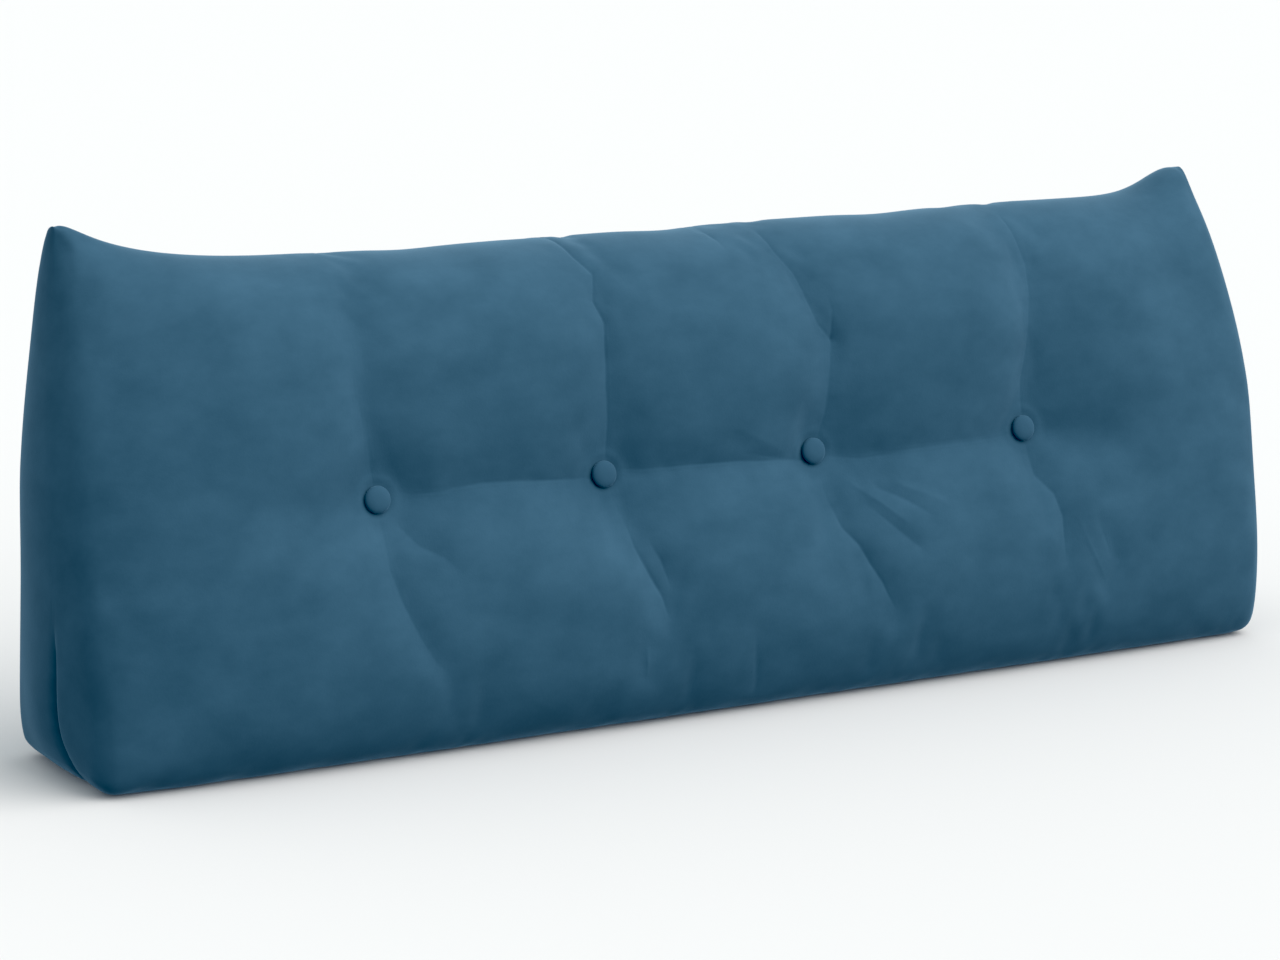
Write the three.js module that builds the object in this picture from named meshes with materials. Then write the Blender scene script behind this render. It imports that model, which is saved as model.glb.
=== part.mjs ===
// A wedge-shaped back cushion: a long stuffed cover that stands on its flat base, with drawn-out top
// corners and a row of covered buttons pulled into its front.
// Millimetres, +Z up, +X along the length, the front face towards -Y, the origin in the middle of the
// floor area.
import * as THREE from "three";
import { mergeVertices } from "three/addons/utils/BufferGeometryUtils.js";

// Driving dimensions of the stuffed cover.
const LENGTH = 1400;
const CROWN_HEIGHT = 484;
const TOP_SEAM_Y = 35;
const BASE_ROUND = 22;
const END_ROUND = 22;
const END_ROUND_TURN = (75 * Math.PI) / 180;
const END_BULGE = 12;

// The ends are drawn in towards the top corners, from this share of the height up and over this much of it.
const EAR_INSET = 27;
const EAR_INSET_FROM = 0.45;
const EAR_INSET_OVER = 0.6;

// The cover's section: how far the front and the back stand from the top seam at each share of the height,
// at mid-length and at the ends, and by how much more the front is drawn in right at an end.
const SECTION = [
  { up: 1.0, frontMid: 0, frontEnd: 0, backMid: 0, backEnd: 0, drawn: 0 },
  { up: 0.96, frontMid: 65, frontEnd: 29, backMid: 38, backEnd: 29, drawn: 27 },
  { up: 0.88, frontMid: 103, frontEnd: 65, backMid: 58, backEnd: 48, drawn: 50 },
  { up: 0.76, frontMid: 126, frontEnd: 94, backMid: 68, backEnd: 57, drawn: 48 },
  { up: 0.6, frontMid: 146, frontEnd: 117, backMid: 75, backEnd: 62, drawn: 36 },
  { up: 0.4, frontMid: 159, frontEnd: 131, backMid: 81, backEnd: 63, drawn: 27 },
  { up: 0.2, frontMid: 164, frontEnd: 144, backMid: 86, backEnd: 74, drawn: 19 },
  { up: 0.06, frontMid: 152, frontEnd: 142, backMid: 86, backEnd: 81, drawn: 10 },
  { up: 0.0, frontMid: 139, frontEnd: 135, backMid: 80, backEnd: 79, drawn: 6 },
];
const END_SECTION_POWER = 4;

// How much of the extra draw-in each end has, and over what length it grows.
const DRAWN_ENDS = [
  { side: -1, share: 1, run: 240 },
  { side: 1, share: 0.2, run: 140 },
];
const DRAWN_POWER = 2.5;

// The corners of the top seam: how far each one stands above the crown, and over what length it rises.
const EARS = [
  { side: -1, rise: 46, run: 90, power: 1 },
  { side: 1, rise: 25, run: 48, power: 1.8 },
];

// Shallow dips of the crown between the folds.
const CROWN_DIPS = [
  { x: -292, deep: 3, run: 26 },
  { x: 5, deep: 3, run: 30 },
  { x: 266, deep: 3, run: 26 },
];

// Covered buttons, all at one height; seatY is how far back their pulled-in seats lie.
const BUTTON_HEIGHT = 258;
const BUTTON_RADIUS = 14;
const BUTTON_THICKNESS = 7.5;
const BUTTON_LIFT = 0.3;
const BUTTON_SIDES = 24;
const SEAT_HALF = 16;
const SEAT_TILT = (12 * Math.PI) / 180;
const BUTTONS = [
  { name: "button_1", x: -385, seatY: -79 },
  { name: "button_2", x: -133, seatY: -77 },
  { name: "button_3", x: 114, seatY: -77 },
  { name: "button_4", x: 376, seatY: -79 },
];
const HOLLOW_DEPTH = 10;
const HOLLOW_RUN = 100;

// A button's outline from its flat back to the top of its dome, as shares of its radius and thickness.
const BUTTON_OUTLINE = [
  { out: 0, up: 0 },
  { out: 0.86, up: 0 },
  { out: 0.97, up: 0.18 },
  { out: 1, up: 0.4 },
  { out: 0.94, up: 0.64 },
  { out: 0.76, up: 0.83 },
  { out: 0.42, up: 0.97 },
  { out: 0, up: 1 },
];

// The heights just above and just below the button seats.
const ABOVE = BUTTON_HEIGHT + SEAT_HALF;
const BELOW = BUTTON_HEIGHT - SEAT_HALF;

// Folds of the front face as troughs on curved lines: start, bend and end as x and height, the depth at
// the start and at the end, and over what distance the face is drawn in to the left and right of the line.
// FOLD_POWER is how fast they fade out from their lines, FOLD_BLEND how much they add up where they meet.
const CROWN_FOLDS = [
  { x0: -385, h0: ABOVE, x1: -404, h1: 340, x2: -398, h2: 440, deep0: 31, deep1: 13, left: 110, right: 180 },
  { x0: -133, h0: ABOVE, x1: -124, h1: 380, x2: -126, h2: 480, deep0: 27, deep1: 8, left: 110, right: 150 },
  { x0: 116, h0: ABOVE, x1: 160, h1: 380, x2: 86, h2: 480, deep0: 28, deep1: 11, left: 100, right: 175 },
  { x0: 376, h0: ABOVE, x1: 400, h1: 380, x2: 398, h2: 480, deep0: 29, deep1: 16, left: 95, right: 160 },
];
const FOOT_FOLDS = [
  { x0: -385, h0: BELOW, x1: -387, h1: 150, x2: -331, h2: 84, deep0: 24, deep1: 1, left: 110, right: 100 },
  { x0: -133, h0: BELOW, x1: -94, h1: 170, x2: -72, h2: 86, deep0: 23, deep1: 1, left: 110, right: 100 },
  { x0: 114, h0: BELOW, x1: 136, h1: 162, x2: 195, h2: 85, deep0: 23, deep1: 1, left: 110, right: 100 },
  { x0: 376, h0: BELOW, x1: 400, h1: 185, x2: 430, h2: 100, deep0: 24, deep1: 1, left: 95, right: 200 },
];
const ROW_FOLDS = [
  { x0: -362, h0: 258, x1: -260, h1: 280, x2: -148, h2: 255, deep0: 27, deep1: 27, left: 185, right: 130 },
  { x0: -112, h0: 259, x1: 10, h1: 262, x2: 101, h2: 248, deep0: 27, deep1: 27, left: 185, right: 130 },
  { x0: 137, h0: 250, x1: 240, h1: 250, x2: 361, h2: 253, deep0: 27, deep1: 27, left: 185, right: 130 },
  { x0: 397, h0: 252, x1: 490, h1: 236, x2: 590, h2: 222, deep0: 25, deep1: 3, left: 150, right: 130 },
  { x0: -398, h0: 257, x1: -490, h1: 266, x2: -570, h2: 270, deep0: 21, deep1: 0, left: 130, right: 120 },
];
const FOLD_POINTS = 12;
const FOLD_POWER = 2;
const FOLD_BLEND = 2;

// Folds die out over these distances, towards the ends, the floor and the top seam.
const FOLD_FREE_END = 60;
const FOLD_FREE_FOOT = 30;
const FOLD_FREE_CROWN = 45;

// The tuck in the left end panel, as points of its line from the top down to the floor, the lobe of cloth
// that it leaves behind it, and how far the foot of the panel is drawn in. All three die out over
// LEFT_END_RUN along the cushion.
const TUCK = [
  { z: 160, y: -24, deep: 0 },
  { z: 149, y: -23, deep: 1.5 },
  { z: 101, y: -20, deep: 4 },
  { z: 70, y: -19, deep: 5 },
  { z: 51, y: -21, deep: 6 },
  { z: 41, y: -24, deep: 6.5 },
  { z: 31, y: -28, deep: 7 },
  { z: 20, y: -32, deep: 7 },
  { z: 0, y: -38, deep: 7 },
];
const TUCK_RUN = 5;
const LEFT_END_RUN = 42;
const LOBE = { y: 15, z: 50, out: 5, runY: 42, runZ: 62 };
const LEFT_FOOT = { drawn: 9, z: 45 };

// Grid steps of the cover.
const BAY_STEP = 27;
const BAY_EASE = 0.35;
const END_ROUND_STEPS = 3;
const FOOT_ROWS = [0, 4, 13];
const LOWER_ROWS = 8;
const UPPER_ROWS = 11;
const PANEL_FRONT_STEPS = 3;
const PANEL_BACK_STEPS = 5;
const TUCK_COLUMNS = [-1, -0.4, 0, 0.4, 1];
const TUCK_HALF = 11;
const TUCK_SHARE = 0.5;
const LINE_SHARES = { low: 0.2, high: 0.8 };

// An end panel bulges fully where it is this wide and from this height up.
const PANEL_FULL_WIDTH = 120;
const BULGE_FROM_FOOT = 80;

// How the inset of the rounded ends dies out towards the top seam, how the lean of the columns does so down
// the back, and the step for the slope of the section.
const INSET_POWER = 8;
const BACK_LEAN_POWER = 2;
const SLOPE_STEP = 0.004;

// Points nearer than this are one point; a place is on a button's seat within this distance of its marks.
const WELD = 1e-3;
const SEAT_MATCH = 6;

const FLAT_END = LENGTH / 2 - END_BULGE - END_ROUND * Math.sin(END_ROUND_TURN);
const clamp = (t, low, high) => Math.min(high, Math.max(low, t));
const clamp01 = (t) => clamp(t, 0, 1);
const smooth = (t) => clamp01(t) ** 2 * (3 - 2 * clamp01(t));
const fading = (away, run, power) => clamp01(1 - away / run) ** power;
const endShare = (x) => Math.abs(x / (LENGTH / 2)) ** END_SECTION_POWER;

// A value from a table's column at a key, on a smooth curve through the rows; keys rise from row to row.
function fromTable(rows, key, column, at) {
  let i = 0;
  while (i < rows.length - 2 && key(rows[i + 1]) < at) i++;
  const row = (k) => rows[clamp(k, 0, rows.length - 1)];
  const [a, b, c, d] = [row(i - 1), row(i), row(i + 1), row(i + 2)];
  const slope = (p, q) => (q[column] - p[column]) / (key(q) - key(p));
  const span = key(c) - key(b);
  const t = clamp01((at - key(b)) / span);
  const slopeB = slope(i === 0 ? b : a, c);
  const slopeC = slope(b, i + 2 > rows.length - 1 ? c : d);
  return (
    (2 * t ** 3 - 3 * t ** 2 + 1) * b[column] +
    (t ** 3 - 2 * t ** 2 + t) * span * slopeB +
    (3 * t ** 2 - 2 * t ** 3) * c[column] +
    (t ** 3 - t ** 2) * span * slopeC
  );
}

// The height of the top seam.
function topHeight(x) {
  let z = CROWN_HEIGHT;
  for (const dip of CROWN_DIPS) z -= dip.deep * Math.exp(-(((x - dip.x) / dip.run) ** 2));
  for (const ear of EARS) {
    const away = Math.max(0, LENGTH / 2 - EAR_INSET - ear.side * x);
    z += ear.rise * Math.exp(-((away / ear.run) ** ear.power));
  }
  return z;
}

// A quadratic curve through a fold's start, bend and end, as points with the depth there.
function foldLine(fold) {
  const line = [];
  for (let i = 0; i <= FOLD_POINTS; i++) {
    const t = i / FOLD_POINTS;
    const [a, b, c] = [(1 - t) ** 2, 2 * t * (1 - t), t ** 2];
    line.push({
      x: a * fold.x0 + b * fold.x1 + c * fold.x2,
      h: a * fold.h0 + b * fold.h1 + c * fold.h2,
      deep: fold.deep0 + (fold.deep1 - fold.deep0) * t,
    });
  }
  return line;
}

const folds = [...CROWN_FOLDS, ...FOOT_FOLDS, ...ROW_FOLDS].map((fold) => {
  return { ...fold, line: foldLine(fold) };
});

// Where the fold that leaves a button up or down lies at a height.
function foldX(button, h) {
  const up = h > BUTTON_HEIGHT;
  const line = folds[up ? button : BUTTONS.length + button].line;
  const beyond = (point) => (up ? point.h >= h : point.h <= h);
  const next = line.findIndex(beyond);
  if (next === 0) return line[0].x;
  if (next < 0) return line[line.length - 1].x;
  const [p, q] = [line[next - 1], line[next]];
  return p.x + ((q.x - p.x) * (h - p.h)) / (q.h - p.h);
}

// Where a column of the grid passes at a height: the columns at the buttons run along their folds.
function columnX(x, h) {
  const marks = [{ x: -FLAT_END, to: -FLAT_END }];
  BUTTONS.forEach((b, i) => {
    const to = foldX(i, h);
    marks.push({ x: b.x - SEAT_HALF, to: to - SEAT_HALF }, { x: b.x + SEAT_HALF, to: to + SEAT_HALF });
  });
  marks.push({ x: FLAT_END, to: FLAT_END });
  if (Math.abs(x) >= FLAT_END) return x;
  const next = marks.findIndex((mark) => mark.x > x);
  const [p, q] = [marks[next - 1], marks[next]];
  return p.to + ((q.to - p.to) * (x - p.x)) / (q.x - p.x);
}

// The untufted cover on a column: side -1 is the front and 1 the back, up is the share of the height.
function coverPoint(column, up, side) {
  const face = side < 0 ? "front" : "back";
  const fromTop = (row) => Math.sqrt(1 - row.up);
  const leaning = columnX(column, up * CROWN_HEIGHT);
  const x = side < 0 ? leaning : column + (leaning - column) * up ** BACK_LEAN_POWER;
  const at = Math.sqrt(1 - up);
  const mid = fromTable(SECTION, fromTop, face + "Mid", at);
  const end = fromTable(SECTION, fromTop, face + "End", at);
  let stand = mid + (end - mid) * endShare(x);
  if (side < 0) {
    const drawn = fromTable(SECTION, fromTop, "drawn", at);
    for (const { side: to, share, run } of DRAWN_ENDS) {
      stand -= drawn * share * fading(LENGTH / 2 - to * x, run, DRAWN_POWER);
    }
  }
  const z = up * topHeight(x);
  const low = clamp01(1 - z / BASE_ROUND);
  const under = BASE_ROUND * (1 - Math.sqrt(1 - low * low));
  return { x, y: TOP_SEAM_Y + side * (stand - under), z };
}

// The same point drawn in for the rounded ends and towards the top corners.
function roundedPoint(station, up, side) {
  const p = coverPoint(station.x, up, side);
  const a = coverPoint(station.x, Math.max(0, up - SLOPE_STEP), side);
  const b = coverPoint(station.x, Math.min(1, up + SLOPE_STEP), side);
  const along = Math.hypot(b.y - a.y, b.z - a.z);
  const inset = station.inset * (1 - up ** INSET_POWER);
  const y = p.y - side * inset * ((b.z - a.z) / along);
  const z = Math.max(0, p.z + side * inset * ((b.y - a.y) / along));
  const drawn = EAR_INSET * smooth((up - EAR_INSET_FROM) / EAR_INSET_OVER) * endShare(p.x);
  return new THREE.Vector3(p.x - Math.sign(p.x) * drawn, y, z);
}

// Steps from a to b, without a, closer together near both ends.
function eased(a, b, count) {
  const list = [];
  for (let i = 1; i <= count; i++) {
    const t = i / count;
    list.push(a + (b - a) * (t - (BAY_EASE * Math.sin(2 * Math.PI * t)) / (2 * Math.PI)));
  }
  return list;
}

// Stations along the length: two flat cells at each button, bays between, and a rounded turn at each end.
function stationList() {
  const marks = [-FLAT_END, ...BUTTONS.flatMap((b) => [b.x - SEAT_HALF, b.x + SEAT_HALF]), FLAT_END];
  const xs = [-FLAT_END];
  for (let i = 1; i < marks.length; i++) {
    const isSeat = i % 2 === 0;
    const steps = isSeat ? 2 : Math.round((marks[i] - marks[i - 1]) / BAY_STEP);
    xs.push(...eased(marks[i - 1], marks[i], steps));
  }
  const turn = [];
  for (let i = 1; i <= END_ROUND_STEPS; i++) {
    const angle = (END_ROUND_TURN * i) / END_ROUND_STEPS;
    turn.push({ x: FLAT_END + END_ROUND * Math.sin(angle), inset: END_ROUND * (1 - Math.cos(angle)) });
  }
  return [
    ...turn.map((s) => ({ x: -s.x, inset: s.inset })).reverse(),
    ...xs.map((x) => ({ x, inset: 0 })),
    ...turn,
  ];
}

// Shares of the height for the rows of the cover: from the floor, past the button seats, to the top seam.
function rowList() {
  const rows = FOOT_ROWS.map((z) => z / CROWN_HEIGHT);
  const foot = rows[rows.length - 1];
  const low = BELOW / CROWN_HEIGHT;
  for (let i = 1; i <= LOWER_ROWS; i++) rows.push(foot + ((low - foot) * i) / LOWER_ROWS);
  rows.push(BUTTON_HEIGHT / CROWN_HEIGHT);
  const reach = Math.sqrt(1 - ABOVE / CROWN_HEIGHT);
  for (let i = 0; i <= UPPER_ROWS; i++) rows.push(1 - (reach * (1 - i / UPPER_ROWS)) ** 2);
  return rows;
}

// Where the tuck's line lies at a height, and how deep it is there.
function tuckAt(z) {
  const key = (row) => -row.z;
  return { y: fromTable(TUCK, key, "y", -z), deep: fromTable(TUCK, key, "deep", -z) };
}

// The tuck, its lobe and the drawn-in foot shape the left end.
function shapeLeftEnd(p) {
  const edge = LENGTH / 2 - END_BULGE;
  const fade = Math.exp(-Math.max(0, edge + p.x) / LEFT_END_RUN);
  const tuck = tuckAt(p.z);
  const groove = tuck.deep * Math.exp(-Math.abs(p.y - tuck.y) / TUCK_RUN);
  const [across, up] = [(p.y - LOBE.y) / LOBE.runY, (p.z - LOBE.z) / LOBE.runZ];
  const lobe = LOBE.out * Math.exp(-(across ** 2) - up ** 2);
  const foot = LEFT_FOOT.drawn * clamp01(1 - p.z / LEFT_FOOT.z) ** 2;
  p.x += (groove - lobe + foot) * fade;
}

// Points across the depth from the front edge to the back edge, with columns beside the tuck's line.
function acrossDepth(front, back) {
  const width = Math.max(1, back.y - front.y);
  const line = clamp((tuckAt(front.z).y - front.y) / width, LINE_SHARES.low, LINE_SHARES.high);
  const half = Math.min(TUCK_HALF / width, line * TUCK_SHARE);
  const near = TUCK_COLUMNS.map((at) => line + at * half);
  const shares = [];
  for (let i = 0; i < PANEL_FRONT_STEPS; i++) shares.push((near[0] * i) / PANEL_FRONT_STEPS);
  shares.push(...near);
  const last = near[near.length - 1];
  for (let i = 1; i <= PANEL_BACK_STEPS; i++) shares.push(last + ((1 - last) * i) / PANEL_BACK_STEPS);
  return shares.map((t) => front.clone().lerp(back, t));
}

// An end panel: columns from the front edge to the back edge, bulging outwards.
function endPanel(rows, frontColumn, backColumn) {
  return rows.map((up, j) => {
    const [front, back] = [frontColumn[j], backColumn[j]];
    const wide = clamp01((back.y - front.y) / PANEL_FULL_WIDTH);
    const rise = 1 - (1 - clamp01((up * CROWN_HEIGHT) / BULGE_FROM_FOOT)) ** 2;
    return acrossDepth(front, back).map((p) => {
      const t = clamp01((p.y - front.y) / Math.max(1, back.y - front.y));
      p.x += Math.sign(p.x) * END_BULGE * 4 * t * (1 - t) * wide * rise;
      return p;
    });
  });
}

// Triangles of a grid of points; flip turns them to face the other way.
function gridTriangles(grid, flip, out) {
  for (let i = 0; i < grid.length - 1; i++) {
    for (let j = 0; j < grid[i].length - 1; j++) {
      const [a, b, c, d] = [grid[i][j], grid[i + 1][j], grid[i + 1][j + 1], grid[i][j + 1]];
      for (const [p, q, r] of [[a, b, c], [a, c, d]]) {
        if (Math.min(p.distanceTo(q), q.distanceTo(r), r.distanceTo(p)) < WELD) continue;
        out.push(...(flip ? [p, r, q] : [p, q, r]));
      }
    }
  }
}

// The closed cover before its folds, with shared points.
function plainCover() {
  const stations = stationList();
  const rows = rowList();
  const last = stations.length - 1;
  const front = stations.map((s) => rows.map((up) => roundedPoint(s, up, -1)));
  const back = stations.map((s) => rows.map((up) => roundedPoint(s, up, 1)));
  front.forEach((column, i) => back[i][rows.length - 1].copy(column[rows.length - 1]));
  const base = stations.map((s, i) => acrossDepth(front[i][0], back[i][0]));
  const triangles = [];
  gridTriangles(front, false, triangles);
  gridTriangles(back, true, triangles);
  gridTriangles(base, true, triangles);
  gridTriangles(endPanel(rows, front[0], back[0]), false, triangles);
  gridTriangles(endPanel(rows, front[last], back[last]), true, triangles);
  const shared = mergeVertices(new THREE.BufferGeometry().setFromPoints(triangles), WELD);
  const points = shared.getAttribute("position");
  const p = new THREE.Vector3();
  for (let i = 0; i < points.count; i++) {
    p.fromBufferAttribute(points, i);
    shapeLeftEnd(p);
    points.setXYZ(i, p.x, p.y, p.z);
  }
  return shared;
}

// The depth of one fold at a place on the face.
function foldDepth(fold, x, h) {
  let best = { gap: Infinity, depth: 0 };
  for (let i = 0; i < fold.line.length - 1; i++) {
    const [p, q] = [fold.line[i], fold.line[i + 1]];
    const [dx, dh] = [q.x - p.x, q.h - p.h];
    const t = clamp01(((x - p.x) * dx + (h - p.h) * dh) / (dx * dx + dh * dh));
    const [ox, oh] = [x - p.x - t * dx, h - p.h - t * dh];
    const gap = Math.hypot(ox, oh);
    if (gap >= best.gap) continue;
    const run = dx * oh - dh * ox > 0 ? fold.left : fold.right;
    best = { gap, depth: (p.deep + (q.deep - p.deep) * t) * fading(gap, run, FOLD_POWER) };
  }
  return best.depth;
}

// How deep the front face is drawn in at a place, by its hollows and folds together.
function drawnIn(x, h) {
  let total = 0;
  for (const b of BUTTONS) {
    const away = Math.max(0, Math.hypot(x - b.x, h - BUTTON_HEIGHT) - SEAT_HALF);
    total += (HOLLOW_DEPTH * fading(away, HOLLOW_RUN, FOLD_POWER)) ** FOLD_BLEND;
  }
  for (const fold of folds) total += foldDepth(fold, x, h) ** FOLD_BLEND;
  return total ** (1 / FOLD_BLEND);
}

// The seat of a button that a place on the front belongs to, with the place's steps from its middle.
function seatAt(x, y, h) {
  for (const b of BUTTONS) {
    const [across, up] = [Math.round((x - b.x) / SEAT_HALF), Math.round((h - BUTTON_HEIGHT) / SEAT_HALF)];
    const near = Math.hypot(x - b.x - across * SEAT_HALF, h - BUTTON_HEIGHT - up * SEAT_HALF) < SEAT_MATCH;
    if (y < 0 && near && Math.abs(across) < 2 && Math.abs(up) < 2) return { button: b, across, up };
  }
  return null;
}

// The finished cover: folds pressed in along the normals, a flat seat under each button and a flat base.
function cushionGeometry() {
  const cover = plainCover();
  cover.computeVertexNormals();
  const [points, normals] = [cover.getAttribute("position"), cover.getAttribute("normal")];
  const p = new THREE.Vector3();
  const n = new THREE.Vector3();
  for (let i = 0; i < points.count; i++) {
    p.fromBufferAttribute(points, i);
    if (p.z < WELD) continue;
    const h = p.y <= TOP_SEAM_Y ? p.z : 2 * topHeight(p.x) - p.z;
    const seat = seatAt(p.x, p.y, h);
    const low = Math.min(p.z / FOLD_FREE_FOOT, (topHeight(p.x) - p.z) / FOLD_FREE_CROWN);
    const free = smooth((LENGTH / 2 - Math.abs(p.x)) / FOLD_FREE_END) * smooth(low);
    n.fromBufferAttribute(normals, i);
    p.addScaledVector(n, -drawnIn(p.x, h) * free);
    if (seat) {
      const up = seat.up * SEAT_HALF;
      p.x = seat.button.x + seat.across * SEAT_HALF;
      p.y = seat.button.seatY + up * Math.sin(SEAT_TILT);
      p.z = BUTTON_HEIGHT + up * Math.cos(SEAT_TILT);
    }
    points.setXYZ(i, p.x, p.y, Math.max(0, p.z));
  }
  cover.deleteAttribute("normal");
  return cover;
}

// A covered button: a flat back, a soft rim and a low dome, turned about its own axis.
function buttonGeometry() {
  const point = (o) => new THREE.Vector2(o.out * BUTTON_RADIUS, o.up * BUTTON_THICKNESS);
  return new THREE.LatheGeometry(BUTTON_OUTLINE.map(point), BUTTON_SIDES);
}

const velvet = new THREE.MeshStandardMaterial({ color: 0x38627f, roughness: 0.9 });
const buttonVelvet = new THREE.MeshStandardMaterial({ color: 0x3b6684, roughness: 0.85 });

const group = new THREE.Group();
const cushion = new THREE.Mesh(cushionGeometry(), velvet);
cushion.name = "cushion";
group.add(cushion);

const outward = new THREE.Vector3(0, -Math.cos(SEAT_TILT), Math.sin(SEAT_TILT));
for (const b of BUTTONS) {
  const button = new THREE.Mesh(buttonGeometry(), buttonVelvet);
  button.name = b.name;
  button.quaternion.setFromUnitVectors(new THREE.Vector3(0, 1, 0), outward);
  button.position.set(b.x, b.seatY, BUTTON_HEIGHT).addScaledVector(outward, BUTTON_LIFT);
  group.add(button);
}

// The origin is under the middle of the whole cushion.
const box = new THREE.Box3().setFromObject(group);
const middle = box.getCenter(new THREE.Vector3());
for (const piece of group.children) piece.position.add(new THREE.Vector3(-middle.x, -middle.y, -box.min.z));

export default group;
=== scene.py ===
"""Looks of the wedge back cushion: a stuffed velvet cover with its covered buttons, on a pale floor.
Metres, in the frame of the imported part: +X along the cushion, its buttoned front towards -Y, +Z up."""
import math

import bmesh
import bpy
import numpy as np
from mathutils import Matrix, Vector


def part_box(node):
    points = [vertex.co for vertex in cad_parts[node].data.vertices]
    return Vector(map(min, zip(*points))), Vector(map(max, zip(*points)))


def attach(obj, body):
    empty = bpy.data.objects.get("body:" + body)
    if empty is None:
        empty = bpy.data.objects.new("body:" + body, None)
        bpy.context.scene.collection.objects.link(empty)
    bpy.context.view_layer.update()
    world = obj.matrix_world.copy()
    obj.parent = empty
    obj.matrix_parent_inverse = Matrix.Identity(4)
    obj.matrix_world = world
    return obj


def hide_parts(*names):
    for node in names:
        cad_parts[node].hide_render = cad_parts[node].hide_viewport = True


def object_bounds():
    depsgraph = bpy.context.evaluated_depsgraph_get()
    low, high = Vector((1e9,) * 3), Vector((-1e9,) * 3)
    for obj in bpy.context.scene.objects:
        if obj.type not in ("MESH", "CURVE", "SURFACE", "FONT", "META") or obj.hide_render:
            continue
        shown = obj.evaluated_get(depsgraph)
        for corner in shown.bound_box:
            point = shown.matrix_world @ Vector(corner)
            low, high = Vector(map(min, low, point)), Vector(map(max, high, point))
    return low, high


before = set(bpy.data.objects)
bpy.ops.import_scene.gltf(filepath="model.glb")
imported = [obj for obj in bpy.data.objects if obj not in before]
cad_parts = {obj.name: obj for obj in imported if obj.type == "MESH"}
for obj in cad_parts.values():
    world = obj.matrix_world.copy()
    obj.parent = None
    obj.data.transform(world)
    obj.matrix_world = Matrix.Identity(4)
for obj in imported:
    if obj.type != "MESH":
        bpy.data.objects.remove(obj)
cad_low, cad_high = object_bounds()

# The camera of the photograph: its place, its turn to the right, its tilt down and its lens.
CAMERA_PLACE = (-2.0117, -3.3997, 1.0115)
CAMERA_TURN = math.radians(30.04)
CAMERA_TILT = math.radians(11.24)
CAMERA_FOCAL_PX = 3908
IMAGE_WIDTH_PX = 1280
SENSOR_MM = 36

MM = 0.001

# Light: a dome, dim below the horizon, and a key lamp as broad as a large softbox. The horizon's blur lies
# between two shares of the way from straight down to straight up.
DOME_ABOVE = (0.92, 0.98, 1.0)
DOME_BELOW = (0.15, 0.22, 0.27)
DOME_HORIZON = (0.48, 0.5)
DOME_STRENGTH = 0.8
KEY_FROM = (0.55, -0.6, 0.65)
KEY_STRENGTH = 2.3
KEY_SPREAD = math.radians(70)
KEY_COLOUR = (1.0, 0.95, 0.91)
BLACK_LEVEL = 0.02

# The floor reaches this far from the middle, in metres.
FLOOR_HALF = 40
FLOOR_TONE = 0.82

# The cloth in linear colour: two close tones of the cover, two of the buttons, and the colour of the sheen.
CLOTH_DARK = (0.042, 0.102, 0.159)
CLOTH_LIGHT = (0.056, 0.13, 0.199)
BUTTON_DARK = (0.046, 0.109, 0.17)
BUTTON_LIGHT = (0.051, 0.12, 0.185)
SHEEN_TINT = (0.45, 0.75, 1.0)

# How the two tones are brushed over each other, the grain of the pile, how far it stands up, and the gloss.
BRUSHED = {"Scale": 17.0, "Detail": 6.0, "Roughness": 0.62}
BRUSHED_STRETCH = (0.8, 1, 1.1)
BRUSHED_TONES_AT = (0.32, 0.68)
GRAIN = {"Scale": 420.0, "Detail": 3.0, "Roughness": 0.7}
PILE = {"Strength": 0.25, "Distance": 0.6 * MM}
GLOSS = {"Roughness": 0.92, "Specular IOR Level": 0.15, "Sheen Weight": 0.42, "Sheen Roughness": 0.4}

# Points of a CAD mesh that are nearer than this are one point.
WELD = 0.02 * MM

# The cover's cloth while it is filled. A shrink_min under 0 makes it a little too large for its cut.
FILLING_CLOTH = {
    "quality": 6,
    "mass": 0.3,
    "tension_stiffness": 20,
    "compression_stiffness": 20,
    "shear_stiffness": 8,
    "bending_stiffness": 0.4,
    "use_pressure": True,
    "uniform_pressure_force": 4.0,
    "pin_stiffness": 1.0,
    "shrink_min": -0.005,
}
SIMULATED_FRAMES = 20

# Blown up, no point of the cover moves further than this. A shorter move than LEAST_MOVE counts as that long.
SWELL_CAP = 6 * MM
LEAST_MOVE = 1e-9

# How firmly the cover is held meanwhile, from 0 to 1: everywhere, on its creases and at its ends.
HELD_EVERYWHERE = 0.2
HELD_IN_CREASE = 0.6
HELD_AT_ENDS = 0.85

# A crease's hold fades over this distance; within these, a button and the floor hold the cover fully.
CREASE_REACH = 14 * MM
HELD_AT_BUTTON = 24 * MM
HELD_NEAR_FLOOR = 1 * MM

# Cloth is on the back where its normal has more than this share to the back, and on an end panel where it
# has more than this share along the cushion.
BACK_FACING = 0.3
END_FACING = 0.5

# Around each button the cloth stands up by this much, in a ring of this radius and breadth.
NEST_RISE = 0.8 * MM
NEST_RADIUS = 20 * MM
NEST_BREADTH = 5 * MM

BUTTONS = ["button_1", "button_2", "button_3", "button_4"]

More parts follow.
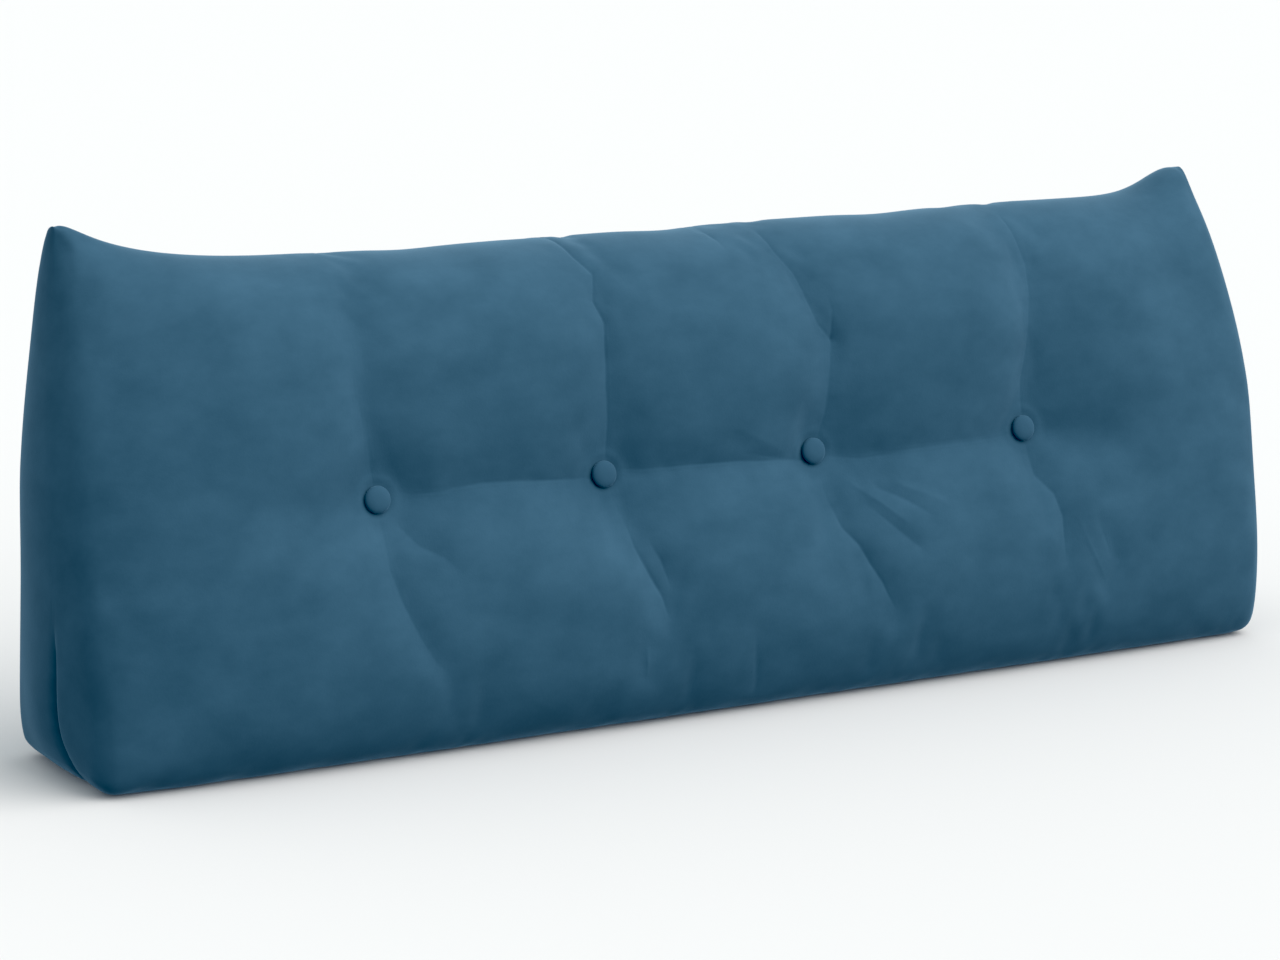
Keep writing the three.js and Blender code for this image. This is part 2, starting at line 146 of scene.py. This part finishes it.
# Creases that the tufting draws into the front, each from its button's middle, as steps along the cushion
# and up in mm, picked on the photograph and turned into mm through its camera. deep is how deep it is
# in mm along its line, less than 0 for a fold that stands out, and width how fast it fades to its sides.
CREASES = [
    {"button": 0, "width": 9, "deep": (1, 0.5, 0), "line": [(-2, 14), (-8, 59), (-18, 108), (-12, 162)]},
    {
        "button": 1, "width": 4, "deep": (1, 2.5, 2),
        "line": [(4, 17), (5, 39), (5, 87), (8, 129), (11, 149), (4, 170), (13, 195), (1, 211),
            (-3, 225)],
    },
    {
        "button": 2, "width": 5, "deep": (1.3, 1.3, 1.3),
        "line": [(9, 17), (15, 35), (19, 64), (25, 102), (26, 113), (13, 129), (4, 155), (-2, 179),
            (-16, 201), (-20, 217)],
    },
    {"button": 2, "width": 4, "deep": (2.5, 0), "line": [(26, 113), (31, 141), (29, 157)]},
    {
        "button": 3, "width": 5, "deep": (1, 1.2),
        "line": [(1, 16), (-1, 51), (12, 92), (21, 132), (27, 170), (24, 200), (21, 213)],
    },
    {
        "button": 0, "width": 6, "deep": (0.5, 1.5, 0.5),
        "line": [(0, -17), (2, -35), (3, -66), (10, -95), (19, -117), (26, -133), (41, -159),
            (50, -166)],
    },
    {
        "button": 1, "width": 5, "deep": (0, 0.5, 2.5, 3, 0.5),
        "line": [(4, -17), (14, -49), (19, -71), (31, -98), (43, -121), (49, -143)],
    },
    {"button": 1, "width": 4, "deep": (0, 1.5, 0), "line": [(33, -64), (45, -86), (54, -117)]},
    {
        "button": 2, "width": 5, "deep": (0, 0.5, 1.5, 2.5, 2.5, 2, 0),
        "line": [(3, -15), (8, -50), (18, -77), (35, -96), (45, -115), (59, -137), (66, -153),
            (76, -170)],
    },
    {
        "button": 3, "width": 5, "deep": (0.5, 1.5, 1.5, 2, 0.5),
        "line": [(2, -18), (7, -49), (25, -69), (32, -93), (30, -134)],
    },
    {"button": 3, "width": 10, "deep": (-0.5, -1.5, -0.5), "line": [(50, -99), (64, -132), (82, -166)]},
    {"button": 3, "width": 8, "deep": (0.5, 1, 0), "line": [(76, -105), (90, -145)]},
    {
        "button": 0, "width": 8, "deep": (0, 0.5, 1.5, 2.5, 3, 2.5, 1),
        "line": [(16, 1), (45, 1), (77, 4), (109, 7), (151, 5), (197, 1), (240, -3)],
    },
    {
        "button": 1, "width": 7, "deep": (0.5, 1, 1.5, 2, 2, 1.5),
        "line": [(19, 2), (51, 2), (94, 2), (152, 0), (201, -4), (238, -9)],
    },
    {
        "button": 2, "width": 9, "deep": (1, 0.5),
        "line": [(18, -7), (53, -12), (124, -6), (189, -5), (248, -7)],
    },
    {"button": 2, "width": 13, "deep": (-0.5, -1.4, -0.5), "line": [(-104, 36), (-75, 22), (-42, 5)]},
    {"button": 2, "width": 7, "deep": (0, 1.2, 0.5), "line": [(-95, 9), (-58, 1), (-16, -8)]},
    {"button": 2, "width": 9, "deep": (2, 2.5, 1), "line": [(65, -41), (97, -56), (122, -72)]},
    {"button": 2, "width": 7, "deep": (0.5, 1.5, 1), "line": [(51, -58), (86, -89), (104, -104)]},
    {"button": 2, "width": 7, "deep": (-1, -2, -1), "line": [(37, -36), (62, -54), (90, -76)]},
    {"button": 2, "width": 8, "deep": (-1.5, -1), "line": [(89, -39), (140, -61)]},
    {"button": 2, "width": 4, "deep": (0, 1.5, 0), "line": [(-87, 222), (-78, 221), (-74, 215), (-73, 206)]},
    {"button": 0, "width": 8, "deep": (1, 1.5, 0), "line": [(20, -28), (35, -46), (57, -58), (76, -77)]},
    {"button": 1, "width": 6, "deep": (0, -1.5, 0), "line": [(22, -164), (25, -205)]},
    {"button": 2, "width": 5, "deep": (0, 1.5, 1), "line": [(-98, -172), (-93, -206), (-89, -235)]},
]

# The tuck of the left end: its line as steps from the middle of the depth and up, from the top down to the
# foot, its depths along that line and how fast it fades to its sides, in mm.
TUCK = {
    "width": 2.5, "deep": (0, 2, 4, 5, 5, 4),
    "line": [(-20, 158), (-17, 101), (-16, 70), (-18, 51), (-25, 31), (-31, 12)],
}

# Behind the tuck the foot of the left end curls up from the floor by this much. It fades over this distance
# along the cushion and at this height, and grows between these two places in the depth.
CURL = 6 * MM
CURL_RUN = 28 * MM
CURL_HEIGHT = 45 * MM
CURL_FROM_DEPTH = -100 * MM
CURL_FULL_DEPTH = -30 * MM

# Near the creases, the tuck and the buttons the cloth has smaller quads, in two steps, this far away.
FINER_WITHIN = [10 * MM, 5 * MM]


def button_middle(name):
    low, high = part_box(name)
    return (low + high) / 2


def mesh_arrays(mesh):
    """The places and the normals of a mesh's points."""
    points = np.empty(len(mesh.vertices) * 3)
    normals = np.empty(len(mesh.vertices) * 3)
    mesh.vertices.foreach_get("co", points)
    mesh.vertices.foreach_get("normal", normals)
    return points.reshape(-1, 3), normals.reshape(-1, 3)


def set_points(mesh, points):
    mesh.vertices.foreach_set("co", points.ravel())
    mesh.update()


def link(name, mesh):
    piece = bpy.data.objects.new(name, mesh)
    bpy.context.scene.collection.objects.link(piece)
    return piece


def settle_modifiers(piece):
    """The piece's mesh takes the shape that its modifiers give it, and the modifiers go."""
    shaped = piece.evaluated_get(bpy.context.evaluated_depsgraph_get())
    mesh = bpy.data.meshes.new_from_object(shaped)
    piece.modifiers.clear()
    piece.data = mesh


def subdivide(piece):
    step = piece.modifiers.new("smooth", "SUBSURF")
    step.levels = step.render_levels = 1
    settle_modifiers(piece)


def cover_from_node(cad_node, name):
    """A new piece with a CAD node's shape, as quads with shared points."""
    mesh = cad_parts[cad_node].data.copy()
    mesh.name = name
    bm = bmesh.new()
    bm.from_mesh(mesh)
    bmesh.ops.remove_doubles(bm, verts=bm.verts, dist=WELD)
    bmesh.ops.join_triangles(bm, faces=bm.faces, angle_face_threshold=math.pi, angle_shape_threshold=math.pi)
    bm.to_mesh(mesh)
    bm.free()
    for polygon in mesh.polygons:
        polygon.use_smooth = True
    return link(name, mesh)


def crease_lines():
    """Each crease as points along the cushion and up, the depths along it and its width, in metres."""
    lines = []
    for crease in CREASES:
        middle = button_middle(BUTTONS[crease["button"]])
        line = [(middle.x + x * MM, middle.z + z * MM) for x, z in crease["line"]]
        lines.append((np.array(line), np.array(crease["deep"]) * MM, crease["width"] * MM))
    return lines


def tuck_line():
    """The tuck's line as points across the depth and up, in metres."""
    return np.array(TUCK["line"]) * MM


def along_line(places, line):
    """For each place, its distance from a line of points and how far along the line it lies, from 0 to 1."""
    steps = np.linalg.norm(np.diff(line, axis=0), axis=1)
    starts = np.concatenate([[0], np.cumsum(steps)]) / steps.sum()
    gap = np.full(len(places), np.inf)
    share = np.zeros(len(places))
    for i in range(len(line) - 1):
        run = line[i + 1] - line[i]
        t = np.clip((places - line[i]) @ run / (run @ run), 0, 1)
        away = np.linalg.norm(places - line[i] - t[:, None] * run, axis=1)
        near = away < gap
        gap[near] = away[near]
        share[near] = (starts[i] + t * (starts[i + 1] - starts[i]))[near]
    return gap, share


def groove(places, line, deep, width):
    """How deep a crease presses each place in: its depth there, less with the distance from its line."""
    gap, share = along_line(places, line)
    return np.interp(share, np.linspace(0, 1, len(deep)), deep) * np.exp(-gap / width)


def can_crease(normals):
    """Which normals belong to cloth that the tufting may crease: all but the back."""
    return normals[:, 1] < BACK_FACING


def on_left_end(places, normals):
    """Which places lie on the left end panel."""
    return (places[:, 0] < 0) & (normals[:, 0] < -END_FACING)


def from_button(places, name):
    """How far places on the front lie from a button's middle, along the cushion and up."""
    middle = button_middle(name)
    return np.hypot(places[:, 0] - middle.x, places[:, 2] - middle.z)


def held_weights(points, normals):
    """How firmly each point of the cover is held while it is blown up."""
    held = np.full(len(points), HELD_EVERYWHERE)
    creased = can_crease(normals)
    flat = points[:, [0, 2]]
    for line, _, _ in crease_lines():
        gap, _ = along_line(flat, line)
        near = HELD_IN_CREASE * np.exp(-((gap / CREASE_REACH) ** 2))
        held = np.where(creased, np.maximum(held, near), held)
    for name in BUTTONS:
        held = np.where(creased & (from_button(points, name) < HELD_AT_BUTTON), 1.0, held)
    held = np.where(np.abs(normals[:, 0]) > END_FACING, np.maximum(held, HELD_AT_ENDS), held)
    held[points[:, 2] < HELD_NEAR_FLOOR] = 1.0
    return held


def blow_up(piece):
    """The cover is filled: its cloth is put under pressure, and may move only a little from its cut."""
    before, normals = mesh_arrays(piece.data)
    held = piece.vertex_groups.new(name="held")
    weights = np.round(held_weights(before, normals), 2)
    for weight in np.unique(weights):
        held.add(np.flatnonzero(weights == weight).tolist(), float(weight), "REPLACE")
    cloth = piece.modifiers.new("filling", "CLOTH")
    for setting, value in FILLING_CLOTH.items():
        setattr(cloth.settings, setting, value)
    cloth.settings.vertex_group_mass = held.name
    cloth.settings.effector_weights.gravity = 0
    cloth.collision_settings.use_collision = False
    cloth.point_cache.frame_start = 1
    cloth.point_cache.frame_end = SIMULATED_FRAMES
    for step in range(1, SIMULATED_FRAMES + 1):
        bpy.context.scene.frame_set(step)
    settle_modifiers(piece)
    bpy.context.scene.frame_set(1)
    piece.vertex_groups.clear()
    after, _ = mesh_arrays(piece.data)
    moved = after - before
    length = np.linalg.norm(moved, axis=1, keepdims=True)
    kept = SWELL_CAP * np.tanh(length / SWELL_CAP) / np.maximum(length, LEAST_MOVE)
    after = before + moved * kept
    after[:, 2] = np.maximum(after[:, 2], 0)
    set_points(piece.data, after)


def crease_gap(places, normals):
    """How far each place lies from the nearest crease or the tuck, or from the raised cloth at a button."""
    gap = np.full(len(places), np.inf)
    for line, _, _ in crease_lines():
        gap = np.minimum(gap, along_line(places[:, [0, 2]], line)[0])
    for name in BUTTONS:
        gap = np.minimum(gap, from_button(places, name) - NEST_RADIUS)
    tuck_gap, _ = along_line(places[:, [1, 2]], tuck_line())
    gap = np.where(can_crease(normals), gap, np.inf)
    return np.where(on_left_end(places, normals), np.minimum(gap, tuck_gap), gap)


def refine_near_creases(piece):
    """Smaller quads along the creases and the tuck and round the buttons, where the cloth turns sharply."""
    for reach in FINER_WITHIN:
        bm = bmesh.new()
        bm.from_mesh(piece.data)
        places = np.array([face.calc_center_median() for face in bm.faces])
        normals = np.array([face.normal for face in bm.faces])
        near = crease_gap(places, normals) < reach
        bm.faces.ensure_lookup_table()
        edges = {edge for i in np.flatnonzero(near) for edge in bm.faces[i].edges}
        bmesh.ops.subdivide_edges(bm, edges=list(edges), cuts=1, smooth=1.0, use_grid_fill=True)
        bm.to_mesh(piece.data)
        bm.free()


def press_creases(piece):
    """The fine creases that the tufting draws into the cover, and the cloth's rise round the buttons."""
    points, normals = mesh_arrays(piece.data)
    depth = np.zeros(len(points))
    for line, deep, width in crease_lines():
        depth += groove(points[:, [0, 2]], line, deep, width)
    for name in BUTTONS:
        depth -= NEST_RISE * np.exp(-(((from_button(points, name) - NEST_RADIUS) / NEST_BREADTH) ** 2))
    depth *= can_crease(normals)
    set_points(piece.data, points - normals * depth[:, None])


def press_tuck(piece):
    """The sharp line of the tuck in the left end panel, and the foot that curls up behind it."""
    points, normals = mesh_arrays(piece.data)
    pressed = groove(points[:, [1, 2]], tuck_line(), np.array(TUCK["deep"]) * MM, TUCK["width"] * MM)
    near_end = np.exp(-(points[:, 0] - cad_low[0]) / CURL_RUN)
    behind = np.clip((points[:, 1] - CURL_FROM_DEPTH) / (CURL_FULL_DEPTH - CURL_FROM_DEPTH), 0, 1)
    low = np.clip(1 - points[:, 2] / CURL_HEIGHT, 0, 1)
    points[:, 0] += pressed * on_left_end(points, normals)
    points[:, 2] += CURL * near_end * behind * low
    set_points(piece.data, points)


def with_inputs(node, values):
    """The node, once its inputs have these plain values."""
    for name, value in values.items():
        node.inputs[name].default_value = value
    return node


def two_tone_ramp(tree, tones, places):
    """A ramp from one tone to another, each at its place."""
    ramp = tree.nodes.new("ShaderNodeValToRGB")
    for stop, tone, at in zip(ramp.color_ramp.elements, tones, places):
        stop.position = at
        stop.color = (*tone, 1)
    return ramp


def velvet(name, dark, light):
    """Short-pile velvet: two close tones brushed over each other, a soft sheen and a fine pile."""
    material = bpy.data.materials.new(name)
    material.use_nodes = True
    tree = material.node_tree
    shader = with_inputs(tree.nodes["Principled BSDF"], GLOSS)
    shader.inputs["Sheen Tint"].default_value = (*SHEEN_TINT, 1)
    place = tree.nodes.new("ShaderNodeTexCoord")
    stretch = with_inputs(tree.nodes.new("ShaderNodeMapping"), {"Scale": BRUSHED_STRETCH})
    brushed = with_inputs(tree.nodes.new("ShaderNodeTexNoise"), BRUSHED)
    tones = two_tone_ramp(tree, (dark, light), BRUSHED_TONES_AT)
    tree.links.new(place.outputs["Object"], stretch.inputs["Vector"])
    tree.links.new(stretch.outputs["Vector"], brushed.inputs["Vector"])
    tree.links.new(brushed.outputs["Fac"], tones.inputs["Fac"])
    tree.links.new(tones.outputs["Color"], shader.inputs["Base Color"])
    grain = with_inputs(tree.nodes.new("ShaderNodeTexNoise"), GRAIN)
    pile = with_inputs(tree.nodes.new("ShaderNodeBump"), PILE)
    tree.links.new(place.outputs["Object"], grain.inputs["Vector"])
    tree.links.new(grain.outputs["Fac"], pile.inputs["Height"])
    tree.links.new(pile.outputs["Normal"], shader.inputs["Normal"])
    return material


def dress(piece, material):
    piece.data.materials.clear()
    piece.data.materials.append(material)


def build_floor():
    """A pale matt floor that throws no light back onto the cushion."""
    corners = [(x * FLOOR_HALF, y * FLOOR_HALF, 0) for x, y in [(-1, -1), (1, -1), (1, 1), (-1, 1)]]
    mesh = bpy.data.meshes.new("floor")
    mesh.from_pydata(corners, [], [(0, 1, 2, 3)])
    floor = link("floor", mesh)
    material = bpy.data.materials.new("pale_floor")
    material.use_nodes = True
    matt = {"Base Color": (FLOOR_TONE, FLOOR_TONE, FLOOR_TONE, 1), "Roughness": 1, "Specular IOR Level": 0}
    with_inputs(material.node_tree.nodes["Principled BSDF"], matt)
    dress(floor, material)
    floor.visible_diffuse = False


def build_dome():
    """An even light from all around and above, dim from below."""
    world = bpy.data.worlds.new("studio")
    world.use_nodes = True
    tree = world.node_tree
    background = with_inputs(tree.nodes["Background"], {"Strength": DOME_STRENGTH})
    place = tree.nodes.new("ShaderNodeTexCoord")
    split = tree.nodes.new("ShaderNodeSeparateXYZ")
    upward = with_inputs(tree.nodes.new("ShaderNodeMapRange"), {"From Min": -1, "From Max": 1})
    dome = two_tone_ramp(tree, (DOME_BELOW, DOME_ABOVE), DOME_HORIZON)
    tree.links.new(place.outputs["Generated"], split.inputs["Vector"])
    tree.links.new(split.outputs["Z"], upward.inputs["Value"])
    tree.links.new(upward.outputs["Result"], dome.inputs["Fac"])
    tree.links.new(dome.outputs["Color"], background.inputs["Color"])
    bpy.context.scene.world = world


def build_key():
    """A broad warm lamp from the front right, high up."""
    key = bpy.data.lights.new("key", "SUN")
    key.energy = KEY_STRENGTH
    key.angle = KEY_SPREAD
    key.color = KEY_COLOUR
    holder = bpy.data.objects.new("key", key)
    holder.rotation_euler = Vector(KEY_FROM).to_track_quat("Z", "Y").to_euler()
    bpy.context.scene.collection.objects.link(holder)


def set_view():
    """Plain colours, with the darkest tones a little deeper."""
    view = bpy.context.scene.view_settings
    view.view_transform = "Standard"
    view.use_curve_mapping = True
    view.curve_mapping.black_level = (BLACK_LEVEL, BLACK_LEVEL, BLACK_LEVEL)


def build_camera():
    lens = bpy.data.cameras.new("camera")
    lens.sensor_width = SENSOR_MM
    lens.lens = CAMERA_FOCAL_PX * SENSOR_MM / IMAGE_WIDTH_PX
    camera = bpy.data.objects.new("camera", lens)
    camera.location = CAMERA_PLACE
    camera.rotation_euler = (math.pi / 2 - CAMERA_TILT, 0, -CAMERA_TURN)
    bpy.context.scene.collection.objects.link(camera)
    bpy.context.scene.camera = camera


def build_cover():
    """The stuffed cover: the CAD cushion, smoothed, blown up and creased."""
    cover = cover_from_node("cushion", "stuffed_cover")
    subdivide(cover)
    blow_up(cover)
    subdivide(cover)
    refine_near_creases(cover)
    press_creases(cover)
    press_tuck(cover)
    dress(cover, velvet("velvet", CLOTH_DARK, CLOTH_LIGHT))
    return cover


def build_button(cad_node, taut):
    """A covered button: its node's place and size with a rounder rim and a smoother dome."""
    button = cover_from_node(cad_node, "covered_" + cad_node)
    subdivide(button)
    subdivide(button)
    dress(button, taut)
    return button


build_camera()
build_dome()
build_key()
set_view()
build_floor()

cover = build_cover()
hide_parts("cushion")
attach(cover, "root")

taut_velvet = velvet("button_velvet", BUTTON_DARK, BUTTON_LIGHT)
for name in BUTTONS:
    button = build_button(name, taut_velvet)
    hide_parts(name)
    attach(button, "root")
